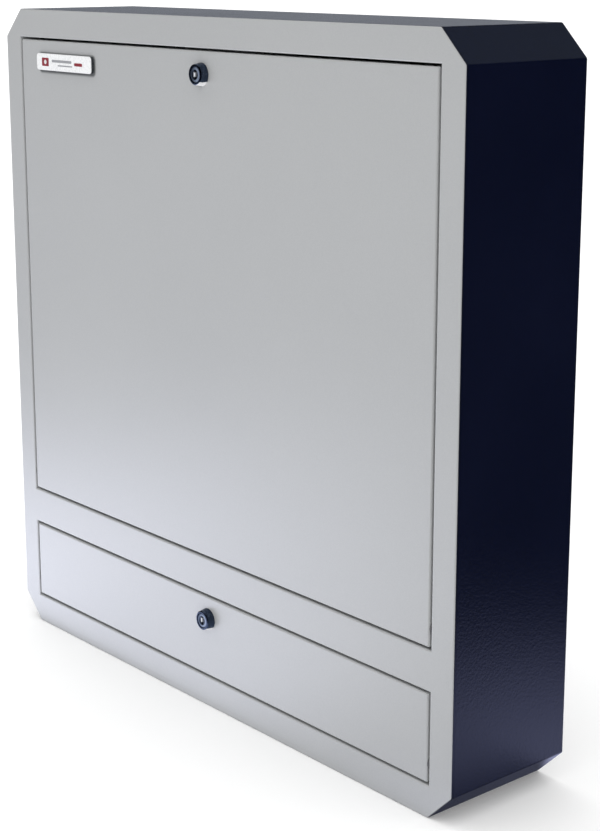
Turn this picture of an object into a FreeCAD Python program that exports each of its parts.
import FreeCAD, Part
import math
import os

# Wall cabinet of folded steel sheet with two lockable fold-down doors.
# Millimetres.  X runs across the front, -Y is the front, +Z is up.
# The origin is the middle of the flat base.

# ---- overall size -------------------------------------------------------
WIDTH = 560.0
HEIGHT = 560.0
DEPTH = 118.0
CORNER_CUT = 23.5          # 45 degree cut on the four long corners
SHEET = 1.5                # folded steel sheet
CORNER_BEND = 2.5          # outside bend radius where the wrap turns

# ---- front frame and its two openings -----------------------------------
OPENING_HALF = 257.3
UPPER_BOTTOM = 128.3
UPPER_TOP = 536.2
LOWER_BOTTOM = 25.4
LOWER_TOP = 97.2
LIP_DEPTH = 20.0           # opening edges folded back into the cabinet
RIM_DEPTH = 2.6            # frame edge that shows in front of the wrap
RIM_FLANGE = 14.0          # hidden flange that slips inside the wrap
EDGE_BEND = 1.3

# ---- doors --------------------------------------------------------------
DOOR_GAP = 2.0
DOOR_DEPTH = 14.0
PIVOT_BACK = 6.5           # pivot line behind the door's front face
PIVOT_UP = 14.0            # pivot line above the door's lower edge
PIN_R = 3.0
BUSH_BORE_R = 3.05
BUSH_R = 4.0

# ---- quadrant stays -----------------------------------------------------
STUD_BACK = 21.0           # guide stud behind the front face
STUD_R = 2.5
SLOT_R = 2.8
BAND_HALF = 8.0
QUADRANT_SHEET = 2.0
UPPER_STAY_R = 88.0
LOWER_STAY_R = 44.0
OPEN_ANGLE = 90.0

# ---- locks --------------------------------------------------------------
LOCK_DROP = 19.6           # lock axis below the opening's top edge
LOCK_HEAD_R = 9.0
LOCK_FACE_R = 7.9          # the head tapers towards its face
LOCK_PROJECTION = 6.5
LOCK_BODY_R = 7.9
LOCK_FLATS = 13.2
LOCK_BODY_LENGTH = 21.6
ROTOR_R = 5.0
ROTOR_BORE_R = 5.08
CAM_REACH = 27.0
CAM_HALF = 7.0
CAM_SHEET = 2.5
KEEPER_HALF = 60.0

# ---- inside -------------------------------------------------------------
SHELF_TOP = 110.0
BACK_RECESS = 3.0
WALL_HOLE_R = 4.25
WALL_HOLE_X = 200.0
WALL_HOLE_Z = (190.0, 490.0)
CABLE_LONG = 70.0
CABLE_SHORT = 32.0

# ---- name plate ---------------------------------------------------------
BADGE_LEFT = -228.0
BADGE_RIGHT = -145.5
BADGE_HEIGHT = 14.3
BADGE_THICK = 3.0

FRONT = -DEPTH / 2.0
BACK = DEPTH / 2.0
DOOR_HALF = OPENING_HALF - DOOR_GAP
PIVOT_Y = FRONT + PIVOT_BACK
PIN_TIP = DOOR_HALF - 5.3
BACK_FACE = BACK - BACK_RECESS
UPPER_LOCK_Z = UPPER_TOP - LOCK_DROP
LOWER_LOCK_Z = LOWER_TOP - LOCK_DROP - 1.0
SIDES = (-1.0, 1.0)
UPPER_PIVOT_Z = UPPER_BOTTOM + DOOR_GAP + PIVOT_UP
LOWER_PIVOT_Z = LOWER_BOTTOM + DOOR_GAP + PIVOT_UP
STUD_OFFSET = STUD_BACK - PIVOT_BACK
UPPER_STUD_Z = UPPER_PIVOT_Z + math.sqrt(UPPER_STAY_R ** 2 - STUD_OFFSET ** 2)
LOWER_STUD_Z = LOWER_PIVOT_Z + math.sqrt(LOWER_STAY_R ** 2 - STUD_OFFSET ** 2)
KEEPER_RIVET_X = 35.0
KEEPER_RIVET_Y = FRONT + 17.2
BUFFER_X = 50.0
SHELF_SCREW_X = (-180.0, 0.0, 180.0)
SHELF_CABLE_X = 150.0
SHELF_CABLE_Y = BACK_FACE - SHEET - 27.0
EARTH_X = -266.0
EARTH_Z = 62.0
CABLE_HOLES = ((-100.0, 160.0), (150.0, 56.0))


def vec(x, y, z):
    return FreeCAD.Vector(x, y, z)


def block(x0, x1, y0, y1, z0, z1):
    """A box between two corners, whichever way round they are given."""
    low = vec(min(x0, x1), min(y0, y1), min(z0, z1))
    return Part.makeBox(abs(x1 - x0), abs(y1 - y0), abs(z1 - z0), low)


def rod_y(x, z, radius, y0, y1):
    return Part.makeCylinder(radius, y1 - y0, vec(x, y0, z), vec(0, 1, 0))


def rod_z(x, y, radius, z0, z1):
    return Part.makeCylinder(radius, z1 - z0, vec(x, y, z0), vec(0, 0, 1))


def rod_x(side, y, z, radius, inner, outer):
    """A rod along X from inner to outer distance on the given side."""
    return Part.makeCylinder(radius, outer - inner, vec(side * inner, y, z), vec(side, 0, 0))


def fuse(shapes):
    solid = shapes[0]
    for other in shapes[1:]:
        solid = solid.fuse(other)
    return solid.removeSplitter()


def cut(shape, tools):
    for tool in tools:
        shape = shape.cut(tool)
    return shape


def prism_y(points, y0, y1):
    """A flat outline in X and Z, given thickness from y0 to y1."""
    corners = [vec(x, y0, z) for x, z in points]
    corners.append(corners[0])
    face = Part.Face(Part.makePolygon(corners))
    return face.extrude(vec(0, y1 - y0, 0))


def octagon(inset):
    """The cabinet's front outline, moved inwards by a distance."""
    half = WIDTH / 2.0 - inset
    low = inset
    high = HEIGHT - inset
    cut_in = CORNER_CUT - inset * (2.0 - math.sqrt(2.0))
    return [
        (-half + cut_in, low),
        (half - cut_in, low),
        (half, low + cut_in),
        (half, high - cut_in),
        (half - cut_in, high),
        (-half + cut_in, high),
        (-half, high - cut_in),
        (-half, low + cut_in),
    ]


def octagon_ring(outer, inner, y0, y1):
    return prism_y(octagon(outer), y0, y1).cut(prism_y(octagon(inner), y0 - 1.0, y1 + 1.0))


def edges_along_y(shape, keep):
    """Edges that run front to back and whose middle passes a test."""
    found = []
    for edge in shape.Edges:
        start = edge.Vertexes[0].Point
        end = edge.Vertexes[-1].Point
        if abs(start.x - end.x) < 0.01 and abs(start.z - end.z) < 0.01 and abs(start.y - end.y) > 0.5:
            if keep(start.x, start.z):
                found.append(edge)
    return found


def edges_at_y(shape, y, keep):
    """Edges that lie wholly in one plane facing the front."""
    found = []
    for edge in shape.Edges:
        box = edge.BoundBox
        if abs(box.YMin - y) < 0.01 and abs(box.YMax - y) < 0.01 and keep(box):
            found.append(edge)
    return found


def stadium_y(x, z, long, short, y0, y1):
    """A bar with round ends, long along X, seen from the front."""
    straight = (long - short) / 2.0
    radius = short / 2.0
    middle = block(x - straight, x + straight, y0, y1, z - radius, z + radius)
    return fuse([middle, rod_y(x - straight, z, radius, y0, y1), rod_y(x + straight, z, radius, y0, y1)])


def grommet_y(x, z, y0, y1):
    """Rubber edging for a long cable hole in an upright sheet from y0 to y1."""
    body = fuse([
        stadium_y(x, z, CABLE_LONG, CABLE_SHORT, y0 - 1.5, y1 + 1.5),
        stadium_y(x, z, CABLE_LONG + 8.0, CABLE_SHORT + 8.0, y0 - 1.5, y0),
        stadium_y(x, z, CABLE_LONG + 8.0, CABLE_SHORT + 8.0, y1, y1 + 1.5),
    ])
    return body.cut(stadium_y(x, z, CABLE_LONG - 6.0, CABLE_SHORT - 6.0, y0 - 3.0, y1 + 3.0))


def hex_y(x, z, across, y0, y1):
    points = []
    for step in range(6):
        angle = math.radians(60.0 * step + 30.0)
        reach = across / 2.0 / math.cos(math.radians(30.0))
        points.append((x + reach * math.cos(angle), z + reach * math.sin(angle)))
    return prism_y(points, y0, y1)


# ---- wrap, back and front frame -----------------------------------------

def make_body_shell():
    """One sheet wrapped round all eight sides and welded at the bottom."""
    wrap = octagon_ring(0.0, SHEET, FRONT + RIM_DEPTH + 0.1, BACK)
    outline = octagon(0.0)

    def on_outline(x, z):
        return any(math.hypot(x - px, z - pz) < 0.1 for px, pz in outline)

    return wrap.makeFillet(CORNER_BEND, edges_along_y(wrap, on_outline))


def make_back_plate():
    """Tray that closes the back, set in so that its wall pads reach the wall."""
    plate = prism_y(octagon(SHEET + 0.1), BACK_FACE - SHEET, BACK_FACE)
    flange = octagon_ring(SHEET + 0.1, SHEET * 2.0 + 0.1, BACK_FACE - 14.0, BACK_FACE)
    tray = fuse([plate, flange])
    holes = [rod_y(side * WALL_HOLE_X, z, WALL_HOLE_R, BACK_FACE - 5.0, BACK + 1.0)
             for side in SIDES for z in WALL_HOLE_Z]
    for x, z in CABLE_HOLES:
        holes.append(stadium_y(x, z, CABLE_LONG, CABLE_SHORT, BACK_FACE - 5.0, BACK_FACE + 1.0))
    holes.append(rod_y(EARTH_X, EARTH_Z, 3.0, BACK_FACE - 5.0, BACK_FACE + 1.0))
    return cut(tray, holes)


def make_wall_pads():
    """Square pads welded behind the back plate round the four wall holes."""
    pads = []
    for side in SIDES:
        for z in WALL_HOLE_Z:
            x = side * WALL_HOLE_X
            pad = block(x - 20.0, x + 20.0, BACK_FACE, BACK, z - 20.0, z + 20.0)
            pad = pad.makeFillet(3.0, edges_along_y(pad, lambda px, pz: True))
            pads.append(pad.cut(rod_y(x, z, WALL_HOLE_R, BACK_FACE - 1.0, BACK + 1.0)))
    return Part.makeCompound(pads)


def lip_block(bottom, top):
    """Outside of the sheet folded back all round one opening."""
    return block(-OPENING_HALF - SHEET, OPENING_HALF + SHEET, FRONT, FRONT + LIP_DEPTH,
                 bottom - SHEET, top + SHEET)


def opening_block(bottom, top):
    return block(-OPENING_HALF, OPENING_HALF, FRONT - 1.0, FRONT + LIP_DEPTH + 1.0, bottom, top)


def stay_tab(side, z):
    """A tongue of the frame's side lip that carries one guide stud."""
    return block(side * OPENING_HALF, side * (OPENING_HALF + SHEET), FRONT + LIP_DEPTH - 3.0,
                 FRONT + STUD_BACK + 7.0, z - 9.0, z + 9.0)


def make_front_frame():
    """Front frame: eight-sided plate, shallow rim, hidden flange, folded lips."""
    openings = [opening_block(UPPER_BOTTOM, UPPER_TOP), opening_block(LOWER_BOTTOM, LOWER_TOP)]
    frame = fuse([
        prism_y(octagon(0.0), FRONT, FRONT + SHEET),
        octagon_ring(0.0, SHEET, FRONT, FRONT + RIM_DEPTH),
        octagon_ring(SHEET + 0.1, SHEET * 2.0 + 0.1, FRONT, FRONT + RIM_FLANGE),
        lip_block(UPPER_BOTTOM, UPPER_TOP),
        lip_block(LOWER_BOTTOM, LOWER_TOP),
    ])
    frame = cut(frame, openings).removeSplitter()
    outline = octagon(0.0)

    def on_outline(x, z):
        return any(math.hypot(x - px, z - pz) < 0.1 for px, pz in outline)

    frame = frame.makeFillet(CORNER_BEND, edges_along_y(frame, on_outline))
    frame = frame.makeFillet(EDGE_BEND, edges_at_y(frame, FRONT, lambda box: True))
    frame = fuse([frame] + [stay_tab(side, z) for side in SIDES for z in (UPPER_STUD_Z, LOWER_STUD_Z)])
    holes = []
    for side in SIDES:
        for z in (UPPER_PIVOT_Z, LOWER_PIVOT_Z):
            holes.append(rod_x(side, PIVOT_Y, z, PIN_R, OPENING_HALF - 1.0, OPENING_HALF + SHEET + 1.0))
        for z in (UPPER_STUD_Z, LOWER_STUD_Z):
            holes.append(rod_x(side, FRONT + STUD_BACK, z, STUD_R,
                               OPENING_HALF - 1.0, OPENING_HALF + SHEET + 1.0))
        for top in (UPPER_TOP, LOWER_TOP):
            holes.append(rod_z(side * KEEPER_RIVET_X, KEEPER_RIVET_Y, 1.6, top - 1.0, top + SHEET + 1.0))
    return cut(frame, holes)


def make_shelf():
    """Shelf between the compartments, folded up in front and down elsewhere."""
    half = WIDTH / 2.0 - 2.0 * SHEET - 0.2
    front = FRONT + LIP_DEPTH + 2.4
    back = BACK_FACE - SHEET
    shelf = fuse([
        block(-half, half, front, back, SHELF_TOP - SHEET, SHELF_TOP),
        block(-half, half, front, front + SHEET, SHELF_TOP - SHEET, SHELF_TOP + 14.0),
        block(-half, half, back - SHEET, back, SHELF_TOP - 16.0, SHELF_TOP),
        block(-half, -half + SHEET, front, back, SHELF_TOP - 14.0, SHELF_TOP),
        block(half - SHEET, half, front, back, SHELF_TOP - 14.0, SHELF_TOP),
    ])
    cable = shelf_stadium(CABLE_LONG, CABLE_SHORT, SHELF_TOP - 4.0, SHELF_TOP + 1.0)
    holes = [rod_y(x, SHELF_TOP - 9.0, 2.05, back - 4.0, back + 1.0) for x in SHELF_SCREW_X]
    return cut(shelf, [cable] + holes)


def shelf_stadium(long, short, z0, z1):
    """A long hole shape lying in the shelf, near its back edge."""
    straight = (long - short) / 2.0
    radius = short / 2.0
    return fuse([
        block(SHELF_CABLE_X - straight, SHELF_CABLE_X + straight,
              SHELF_CABLE_Y - radius, SHELF_CABLE_Y + radius, z0, z1),
        rod_z(SHELF_CABLE_X - straight, SHELF_CABLE_Y, radius, z0, z1),
        rod_z(SHELF_CABLE_X + straight, SHELF_CABLE_Y, radius, z0, z1),
    ])


def make_shelf_grommet():
    low = SHELF_TOP - SHEET
    body = fuse([
        shelf_stadium(CABLE_LONG, CABLE_SHORT, low - 1.5, SHELF_TOP + 1.5),
        shelf_stadium(CABLE_LONG + 8.0, CABLE_SHORT + 8.0, low - 1.5, low),
        shelf_stadium(CABLE_LONG + 8.0, CABLE_SHORT + 8.0, SHELF_TOP, SHELF_TOP + 1.5),
    ])
    return body.cut(shelf_stadium(CABLE_LONG - 6.0, CABLE_SHORT - 6.0, low - 3.0, SHELF_TOP + 3.0))


def make_shelf_screws():
    """Pan-head screws that tie the shelf's rear flange to the back plate."""
    back = BACK_FACE - SHEET
    screws = []
    for x in SHELF_SCREW_X:
        z = SHELF_TOP - 9.0
        head = rod_y(x, z, 4.0, back - SHEET - 2.6, back - SHEET)
        head = head.makeFillet(1.2, edges_at_y(head, back - SHEET - 2.6, lambda box: True))
        shank = rod_y(x, z, 2.0, back - SHEET, back)
        recess = [block(x - 2.2, x + 2.2, back - 5.0, back - SHEET - 1.2, z - 0.5, z + 0.5),
                  block(x - 0.5, x + 0.5, back - 5.0, back - SHEET - 1.2, z - 2.2, z + 2.2)]
        screws.append(cut(fuse([head, shank]), recess))
    return Part.makeCompound(screws)


# ---- door parts ---------------------------------------------------------

def make_door_panel(bottom, top, pivot_z, stay_r, lock_z):
    """Door leaf: one sheet folded back on all four edges."""
    low = bottom + DOOR_GAP
    high = top - DOOR_GAP
    leaf = block(-DOOR_HALF, DOOR_HALF, FRONT, FRONT + DOOR_DEPTH, low, high)
    leaf = leaf.makeFillet(1.0, edges_along_y(leaf, lambda x, z: True))
    leaf = leaf.makeFillet(EDGE_BEND, edges_at_y(leaf, FRONT, lambda box: True))
    hollow = block(-DOOR_HALF + SHEET, DOOR_HALF - SHEET, FRONT + SHEET, FRONT + DOOR_DEPTH + 1.0,
                   low + SHEET, high - SHEET)
    holes = [hollow, lock_body(lock_z, 0.1, FRONT - 1.0, FRONT + SHEET + 1.0)]
    for side in SIDES:
        holes.append(rod_x(side, PIVOT_Y, pivot_z, BUSH_R, DOOR_HALF - SHEET - 1.0, DOOR_HALF + 1.0))
        for rise in stay_rivet_rises(stay_r):
            holes.append(rod_x(side, PIVOT_Y + 1.0, pivot_z + rise, 1.6,
                               DOOR_HALF - SHEET - 1.0, DOOR_HALF + 1.0))
    return cut(leaf, holes)


def make_stiffener(x, z, along_x, along_z):
    """Hat-section stiffener welded inside a door leaf."""
    y0 = FRONT + SHEET
    depth = 10.0
    sheet = 1.2
    if along_z > along_x:
        hat = block(x - 15.0, x + 15.0, y0, y0 + depth, z - along_z / 2.0, z + along_z / 2.0)
        groove = block(x - 15.0 + sheet, x + 15.0 - sheet, y0 - 1.0, y0 + depth - sheet,
                       z - along_z / 2.0 - 1.0, z + along_z / 2.0 + 1.0)
        foot = block(x - 25.0, x + 25.0, y0, y0 + sheet, z - along_z / 2.0, z + along_z / 2.0)
    else:
        hat = block(x - along_x / 2.0, x + along_x / 2.0, y0, y0 + depth, z - 9.0, z + 9.0)
        groove = block(x - along_x / 2.0 - 1.0, x + along_x / 2.0 + 1.0, y0 - 1.0,
                       y0 + depth - sheet, z - 9.0 + sheet, z + 9.0 - sheet)
        foot = block(x - along_x / 2.0, x + along_x / 2.0, y0, y0 + sheet, z - 17.0, z + 17.0)
    return fuse([hat, foot]).cut(groove)


def make_bushes(pivot_z):
    """Flanged plastic bushes in the door's two side returns."""
    bushes = []
    for side in SIDES:
        bush = fuse([
            rod_x(side, PIVOT_Y, pivot_z, BUSH_R, DOOR_HALF - SHEET - 1.0, DOOR_HALF),
            rod_x(side, PIVOT_Y, pivot_z, 6.0, DOOR_HALF, DOOR_HALF + 1.4),
        ])
        bore = rod_x(side, PIVOT_Y, pivot_z, BUSH_BORE_R, DOOR_HALF - 10.0, DOOR_HALF + 5.0)
        bushes.append(bush.cut(bore))
    return Part.makeCompound(bushes)


def make_pins(pivot_z):
    """Steel pivot pins riveted through the frame's side lips."""
    pins = []
    for side in SIDES:
        shank = rod_x(side, PIVOT_Y, pivot_z, PIN_R, PIN_TIP, OPENING_HALF + SHEET)
        shank = shank.makeFillet(0.6, edges_with_x(shank, side * PIN_TIP))
        head = rod_x(side, PIVOT_Y, pivot_z, 5.0, OPENING_HALF + SHEET, OPENING_HALF + SHEET + 1.6)
        groove = rod_x(side, PIVOT_Y, pivot_z, 4.0, PIN_TIP + 1.0, PIN_TIP + 1.9).cut(
            rod_x(side, PIVOT_Y, pivot_z, 2.5, PIN_TIP, PIN_TIP + 3.0))
        pins.append(fuse([shank, head]).cut(groove))
    return Part.makeCompound(pins)


def edges_with_x(shape, x):
    found = []
    for edge in shape.Edges:
        box = edge.BoundBox
        if abs(box.XMin - x) < 0.01 and abs(box.XMax - x) < 0.01:
            found.append(edge)
    return found


def make_clips(pivot_z):
    """Spring clips that snap into the grooves of the pivot pins."""
    clips = []
    for side in SIDES:
        ring = rod_x(side, PIVOT_Y, pivot_z, 4.5, PIN_TIP + 1.05, PIN_TIP + 1.85)
        ring = ring.cut(rod_x(side, PIVOT_Y, pivot_z, 2.5, PIN_TIP, PIN_TIP + 3.0))
        mouth = block(side * PIN_TIP, side * (PIN_TIP + 3.0), PIVOT_Y - 1.8, PIVOT_Y + 1.8,
                      pivot_z, pivot_z + 8.0)
        clips.append(ring.cut(mouth))
    return Part.makeCompound(clips)


# ---- quadrant stays -----------------------------------------------------

def stay_rivet_rises(stay_r):
    """Heights of the two stay rivets above the pivot line."""
    if stay_r > 60.0:
        return (stay_r - 24.0, stay_r + 14.0)
    return (stay_r - 18.0, stay_r + 3.0)


def sector_points(radius, first, last, steps):
    """Points on an arc about the pivot, from the top towards the back."""
    points = []
    for step in range(steps + 1):
        angle = math.radians(first + (last - first) * step / steps)
        points.append((radius * math.sin(angle), radius * math.cos(angle)))
    return points


def arc_band(side, pivot_z, radius, half, first, last):
    """A curved strip about the pivot line, as thick as the stay's sheet."""
    inner_x = DOOR_HALF - SHEET - QUADRANT_SHEET
    ring = rod_x(side, PIVOT_Y, pivot_z, radius + half, inner_x, inner_x + QUADRANT_SHEET)
    ring = ring.cut(rod_x(side, PIVOT_Y, pivot_z, radius - half, inner_x - 1.0, inner_x + 4.0))
    reach = 2.0 * radius + 60.0
    corners = [(0.0, 0.0)] + sector_points(reach, first, last, 4)
    outline = [vec(side * (inner_x - 1.0), PIVOT_Y + y, pivot_z + z) for y, z in corners]
    outline.append(outline[0])
    wedge = Part.Face(Part.makePolygon(outline)).extrude(vec(side * 5.0, 0, 0))
    return ring.common(wedge)


def make_quadrants(pivot_z, stay_r, door_top):
    """Slotted quarter-circle stays, one riveted to each side of a door."""
    first = math.degrees(math.asin((STUD_BACK - PIVOT_BACK) / stay_r))
    last = first + OPEN_ANGLE
    inner_x = DOOR_HALF - SHEET - QUADRANT_SHEET
    outer_x = inner_x + QUADRANT_SHEET
    plates = []
    for side in SIDES:
        low, high = stay_rivet_rises(stay_r)
        foot_top = min(pivot_z + high + 7.0, door_top - DOOR_GAP - SHEET - 0.5)
        foot = block(side * inner_x, side * outer_x, PIVOT_Y - 4.8, PIVOT_Y + 7.0,
                     pivot_z + low - 7.0, foot_top)
        end_y, end_z = sector_points(stay_r, last, last + 1.0, 1)[0]
        tail = rod_x(side, PIVOT_Y + end_y, pivot_z + end_z, BAND_HALF, inner_x, outer_x)
        plate = fuse([foot, arc_band(side, pivot_z, stay_r, BAND_HALF, 0.0, last), tail])
        slot = [arc_band(side, pivot_z, stay_r, SLOT_R, first, last)]
        for angle in (first, last):
            y, z = sector_points(stay_r, angle, angle + 1.0, 1)[0]
            slot.append(rod_x(side, PIVOT_Y + y, pivot_z + z, SLOT_R, inner_x - 1.0, outer_x + 1.0))
        for rise in (low, high):
            slot.append(rod_x(side, PIVOT_Y + 1.0, pivot_z + rise, 1.6, inner_x - 1.0, outer_x + 1.0))
        plates.append(cut(plate, slot).removeSplitter())
    return Part.makeCompound(plates)


def make_stay_rivets(pivot_z, stay_r):
    rivets = []
    inner_x = DOOR_HALF - SHEET - QUADRANT_SHEET
    for side in SIDES:
        for rise in stay_rivet_rises(stay_r):
            z = pivot_z + rise
            head = rod_x(side, PIVOT_Y + 1.0, z, 3.0, inner_x - 1.2, inner_x)
            head = head.makeFillet(0.8, edges_with_x(head, side * (inner_x - 1.2)))
            rivets.append(fuse([
                head,
                rod_x(side, PIVOT_Y + 1.0, z, 1.6, inner_x, DOOR_HALF),
                rod_x(side, PIVOT_Y + 1.0, z, 2.8, DOOR_HALF, DOOR_HALF + 0.6),
            ]))
    return Part.makeCompound(rivets)


def make_studs(stud_z):
    """Shouldered guide studs that run in the stays' curved slots."""
    studs = []
    y = FRONT + STUD_BACK
    inner_x = DOOR_HALF - SHEET - QUADRANT_SHEET
    for side in SIDES:
        head = rod_x(side, y, stud_z, 5.0, inner_x - 2.4, inner_x - 0.4)
        head = head.makeFillet(0.8, edges_with_x(head, side * (inner_x - 2.4)))
        studs.append(fuse([
            head,
            rod_x(side, y, stud_z, STUD_R, inner_x - 0.4, OPENING_HALF + SHEET),
            rod_x(side, y, stud_z, 4.5, DOOR_HALF - SHEET + 0.4, OPENING_HALF),
            rod_x(side, y, stud_z, 4.5, OPENING_HALF + SHEET, OPENING_HALF + SHEET + 1.2),
        ]))
    return Part.makeCompound(studs)


# ---- locks --------------------------------------------------------------

def lock_body(z, grow, y0, y1):
    """Round lock body with a flat on each side."""
    flats = LOCK_FLATS / 2.0 + grow
    body = rod_y(0.0, z, LOCK_BODY_R + grow, y0, y1)
    return body.common(block(-flats, flats, y0 - 1.0, y1 + 1.0, z - 20.0, z + 20.0))


def make_lock_housing(z):
    """Lock head that stands out of the door, and the body behind it."""
    tip = FRONT - LOCK_PROJECTION
    head = Part.makeCone(LOCK_HEAD_R, LOCK_FACE_R, LOCK_PROJECTION, vec(0, FRONT, z), vec(0, -1, 0))
    head = head.makeFillet(1.2, edges_at_y(head, tip, lambda box: True))
    body = lock_body(z, 0.0, FRONT, FRONT + LOCK_BODY_LENGTH)
    housing = fuse([head, body])
    return cut(housing, [
        rod_y(0.0, z, ROTOR_BORE_R, tip - 1.0, FRONT + LOCK_BODY_LENGTH + 1.0),
        rod_y(0.0, z, 6.3, tip - 1.0, tip + 1.3),
    ])


def make_lock_rotor(z):
    """Turning plug with a dished face, an upright keyway and a square tail for the cam."""
    tip = FRONT - LOCK_PROJECTION
    face = rod_y(0.0, z, 5.9, tip + 0.3, tip + 1.0)
    face = face.makeChamfer(0.55, edges_at_y(face, tip + 0.3, lambda box: True))
    dish = Part.makeCone(3.9, 2.3, 0.7, vec(0, tip + 0.3, z), vec(0, 1, 0))
    plug = rod_y(0.0, z, ROTOR_R, tip + 1.0, FRONT + LOCK_BODY_LENGTH + 0.6)
    tail = block(-3.2, 3.2, FRONT + LOCK_BODY_LENGTH + 0.6, FRONT + LOCK_BODY_LENGTH + 3.0,
                 z - 3.2, z + 3.2)
    rotor = fuse([face, plug, tail])
    return cut(rotor, [
        dish,
        block(-1.0, 1.0, tip - 1.0, tip + 16.0, z - 3.9, z + 3.9),
        block(-1.5, 1.5, tip - 1.0, tip + 16.0, z + 1.4, z + 3.1),
        rod_y(0.0, z, 2.0, FRONT + LOCK_BODY_LENGTH - 8.0, FRONT + LOCK_BODY_LENGTH + 4.0),
    ])


def make_lock_cam(z):
    """Flat cam that points left when open and up behind the keeper when shut."""
    y0 = FRONT + LOCK_BODY_LENGTH + 0.7
    y1 = y0 + CAM_SHEET
    arm = block(-CAM_REACH, 0.0, y0, y1, z - CAM_HALF, z + CAM_HALF)
    arm = arm.makeFillet(3.5, edges_along_y(arm, lambda x, pz: x < -1.0))
    cam = fuse([arm, rod_y(0.0, z, 8.0, y0, y1)])
    return cam.cut(block(-3.25, 3.25, y0 - 1.0, y1 + 1.0, z - 3.25, z + 3.25))


def make_lock_cam_screw(z):
    """Screw and washer face that hold the cam on the square tail."""
    y0 = FRONT + LOCK_BODY_LENGTH + 0.7 + CAM_SHEET
    head = rod_y(0.0, z, 4.6, y0, y0 + 2.4)
    head = head.makeFillet(0.7, edges_at_y(head, y0 + 2.4, lambda box: True))
    shank = rod_y(0.0, z, 1.95, y0 - 9.0, y0)
    recess = [block(-2.4, 2.4, y0 + 1.2, y0 + 4.0, z - 0.5, z + 0.5),
              block(-0.5, 0.5, y0 + 1.2, y0 + 4.0, z - 2.4, z + 2.4)]
    return cut(fuse([head, shank]), recess)


def make_lock_washer(z):
    """Toothed washer under the lock nut."""
    y0 = FRONT + SHEET
    ring = rod_y(0.0, z, 11.5, y0, y0 + 1.0).cut(rod_y(0.0, z, LOCK_BODY_R + 0.1, y0 - 1.0, y0 + 2.0))
    notches = []
    for step in range(12):
        angle = math.radians(30.0 * step + 15.0)
        notches.append(rod_y(11.6 * math.cos(angle), z + 11.6 * math.sin(angle), 1.1, y0 - 1.0, y0 + 2.0))
    return cut(ring, notches)


def make_lock_nut(z):
    y0 = FRONT + SHEET + 1.0
    nut = hex_y(0.0, z, 22.0, y0, y0 + 4.0)
    crown = Part.makeCone(12.4, 10.9, 1.5, vec(0, y0 + 2.5, z), vec(0, 1, 0))
    plain = hex_y(0.0, z, 22.0, y0, y0 + 2.5)
    nut = fuse([plain, nut.common(crown)])
    return nut.cut(rod_y(0.0, z, LOCK_BODY_R + 0.05, y0 - 1.0, y0 + 5.0))


def make_keeper(top):
    """Angle behind the opening's top edge; the cam turns up behind it."""
    y0 = FRONT + LIP_DEPTH + 0.2
    keeper = fuse([
        block(-KEEPER_HALF, KEEPER_HALF, y0, y0 + SHEET, top - 10.5, top + SHEET * 2.0),
        block(-KEEPER_HALF, KEEPER_HALF, FRONT + 8.0, y0 + SHEET, top + SHEET, top + SHEET * 2.0),
    ])
    keeper = keeper.makeFillet(3.0, edges_along_y(keeper, lambda x, z: z < top - 10.0))
    holes = [rod_y(side * BUFFER_X, top - 5.0, 2.0, y0 - 1.0, y0 + 3.0) for side in SIDES]
    for side in SIDES:
        holes.append(rod_z(side * KEEPER_RIVET_X, KEEPER_RIVET_Y, 1.6, top + 1.0, top + SHEET * 2.0 + 1.0))
    return cut(keeper, holes)


def make_keeper_rivets(top):
    rivets = []
    for side in SIDES:
        x = side * KEEPER_RIVET_X
        rivets.append(fuse([
            rod_z(x, KEEPER_RIVET_Y, 2.6, top - 0.9, top),
            rod_z(x, KEEPER_RIVET_Y, 1.6, top, top + SHEET * 2.0),
            rod_z(x, KEEPER_RIVET_Y, 2.6, top + SHEET * 2.0, top + SHEET * 2.0 + 1.2),
        ]))
    return Part.makeCompound(rivets)


def make_buffers(top):
    """Rubber buttons that the shut door's top fold comes to rest on."""
    buffers = []
    y0 = FRONT + LIP_DEPTH + 0.2
    for side in SIDES:
        x = side * BUFFER_X
        z = top - 5.0
        head = rod_y(x, z, 4.0, FRONT + DOOR_DEPTH + 0.4, y0)
        head = head.makeFillet(1.2, edges_at_y(head, FRONT + DOOR_DEPTH + 0.4, lambda box: True))
        buffers.append(fuse([
            head,
            rod_y(x, z, 2.0, y0, y0 + SHEET),
            rod_y(x, z, 2.8, y0 + SHEET, y0 + SHEET + 1.4),
        ]))
    return Part.makeCompound(buffers)


# ---- small pieces -------------------------------------------------------

def make_badge():
    """Raised name plate near the upper door's top left corner."""
    z = UPPER_LOCK_Z
    badge = block(BADGE_LEFT, BADGE_RIGHT, FRONT - BADGE_THICK, FRONT,
                  z - BADGE_HEIGHT / 2.0, z + BADGE_HEIGHT / 2.0)
    badge = badge.makeFillet(3.0, edges_along_y(badge, lambda x, pz: True))
    return badge.makeFillet(1.0, edges_at_y(badge, FRONT - BADGE_THICK, lambda box: True))


def make_earth_stud():
    stud = rod_y(EARTH_X, EARTH_Z, 3.0, BACK_FACE - 22.0, BACK_FACE)
    return stud.makeFillet(0.6, edges_at_y(stud, BACK_FACE - 22.0, lambda box: True))


def make_earth_washer():
    y1 = BACK_FACE - SHEET
    return rod_y(EARTH_X, EARTH_Z, 6.0, y1 - 1.2, y1).cut(
        rod_y(EARTH_X, EARTH_Z, 3.05, y1 - 3.0, y1 + 1.0))


def make_earth_nut():
    y1 = BACK_FACE - SHEET - 1.2
    return hex_y(EARTH_X, EARTH_Z, 10.0, y1 - 5.0, y1).cut(
        rod_y(EARTH_X, EARTH_Z, 3.02, y1 - 6.0, y1 + 1.0))


# ---- every node of the cabinet ------------------------------------------

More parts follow.
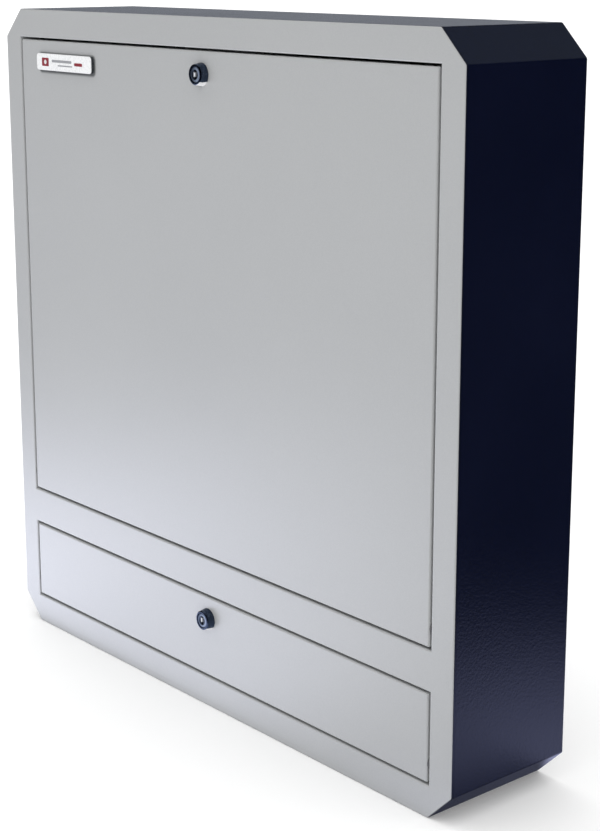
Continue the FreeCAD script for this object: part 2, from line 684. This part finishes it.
def make_cabinet():
    grommets = [grommet_y(x, z, BACK_FACE - SHEET, BACK_FACE) for x, z in CABLE_HOLES]
    return {
        "body_shell": make_body_shell(),
        "back_plate": make_back_plate(),
        "wall_pads": make_wall_pads(),
        "front_frame": make_front_frame(),
        "divider_shelf": make_shelf(),
        "shelf_screws": make_shelf_screws(),
        "shelf_grommet": make_shelf_grommet(),
        "upper_back_grommet": grommets[0],
        "lower_back_grommet": grommets[1],
        "earth_stud": make_earth_stud(),
        "earth_washer": make_earth_washer(),
        "earth_nut": make_earth_nut(),
        "name_plate": make_badge(),
    }


def make_compartment(name, bottom, top, pivot_z, stud_z, stay_r, lock_z):
    """Door, lock, hinge and stay pieces of one compartment."""
    return {
        name + "_door_panel": make_door_panel(bottom, top, pivot_z, stay_r, lock_z),
        name + "_hinge_bushes": make_bushes(pivot_z),
        name + "_hinge_pins": make_pins(pivot_z),
        name + "_hinge_clips": make_clips(pivot_z),
        name + "_stay_quadrants": make_quadrants(pivot_z, stay_r, top),
        name + "_stay_rivets": make_stay_rivets(pivot_z, stay_r),
        name + "_stay_studs": make_studs(stud_z),
        name + "_keeper": make_keeper(top),
        name + "_keeper_rivets": make_keeper_rivets(top),
        name + "_buffers": make_buffers(top),
        name + "_lock_housing": make_lock_housing(lock_z),
        name + "_lock_washer": make_lock_washer(lock_z),
        name + "_lock_nut": make_lock_nut(lock_z),
        name + "_lock_rotor": make_lock_rotor(lock_z),
        name + "_lock_cam": make_lock_cam(lock_z),
        name + "_lock_cam_screw": make_lock_cam_screw(lock_z),
    }


def make_stiffeners():
    upper_mid = (UPPER_BOTTOM + UPPER_TOP) / 2.0
    lower_mid = (LOWER_BOTTOM + LOWER_TOP) / 2.0
    return {
        "upper_door_stiffeners": Part.makeCompound(
            [make_stiffener(side * 125.0, upper_mid, 50.0, 390.0) for side in SIDES]),
        "lower_door_stiffeners": Part.makeCompound(
            [make_stiffener(side * 130.0, lower_mid, 190.0, 34.0) for side in SIDES]),
    }


nodes = make_cabinet()
nodes.update(make_compartment("upper", UPPER_BOTTOM, UPPER_TOP, UPPER_PIVOT_Z,
                              UPPER_STUD_Z, UPPER_STAY_R, UPPER_LOCK_Z))
nodes.update(make_compartment("lower", LOWER_BOTTOM, LOWER_TOP, LOWER_PIVOT_Z,
                              LOWER_STUD_Z, LOWER_STAY_R, LOWER_LOCK_Z))
nodes.update(make_stiffeners())

os.makedirs("parts", exist_ok=True)
for name, shape in nodes.items():
    if not shape.isValid() or not all(solid.isClosed() for solid in shape.Solids):
        raise ValueError(name + " is not a closed valid solid")
    shape.exportStep("parts/" + name + ".step")
    print(name, len(shape.Solids), round(shape.Volume / 1000.0, 3))
print(len(nodes), "nodes")
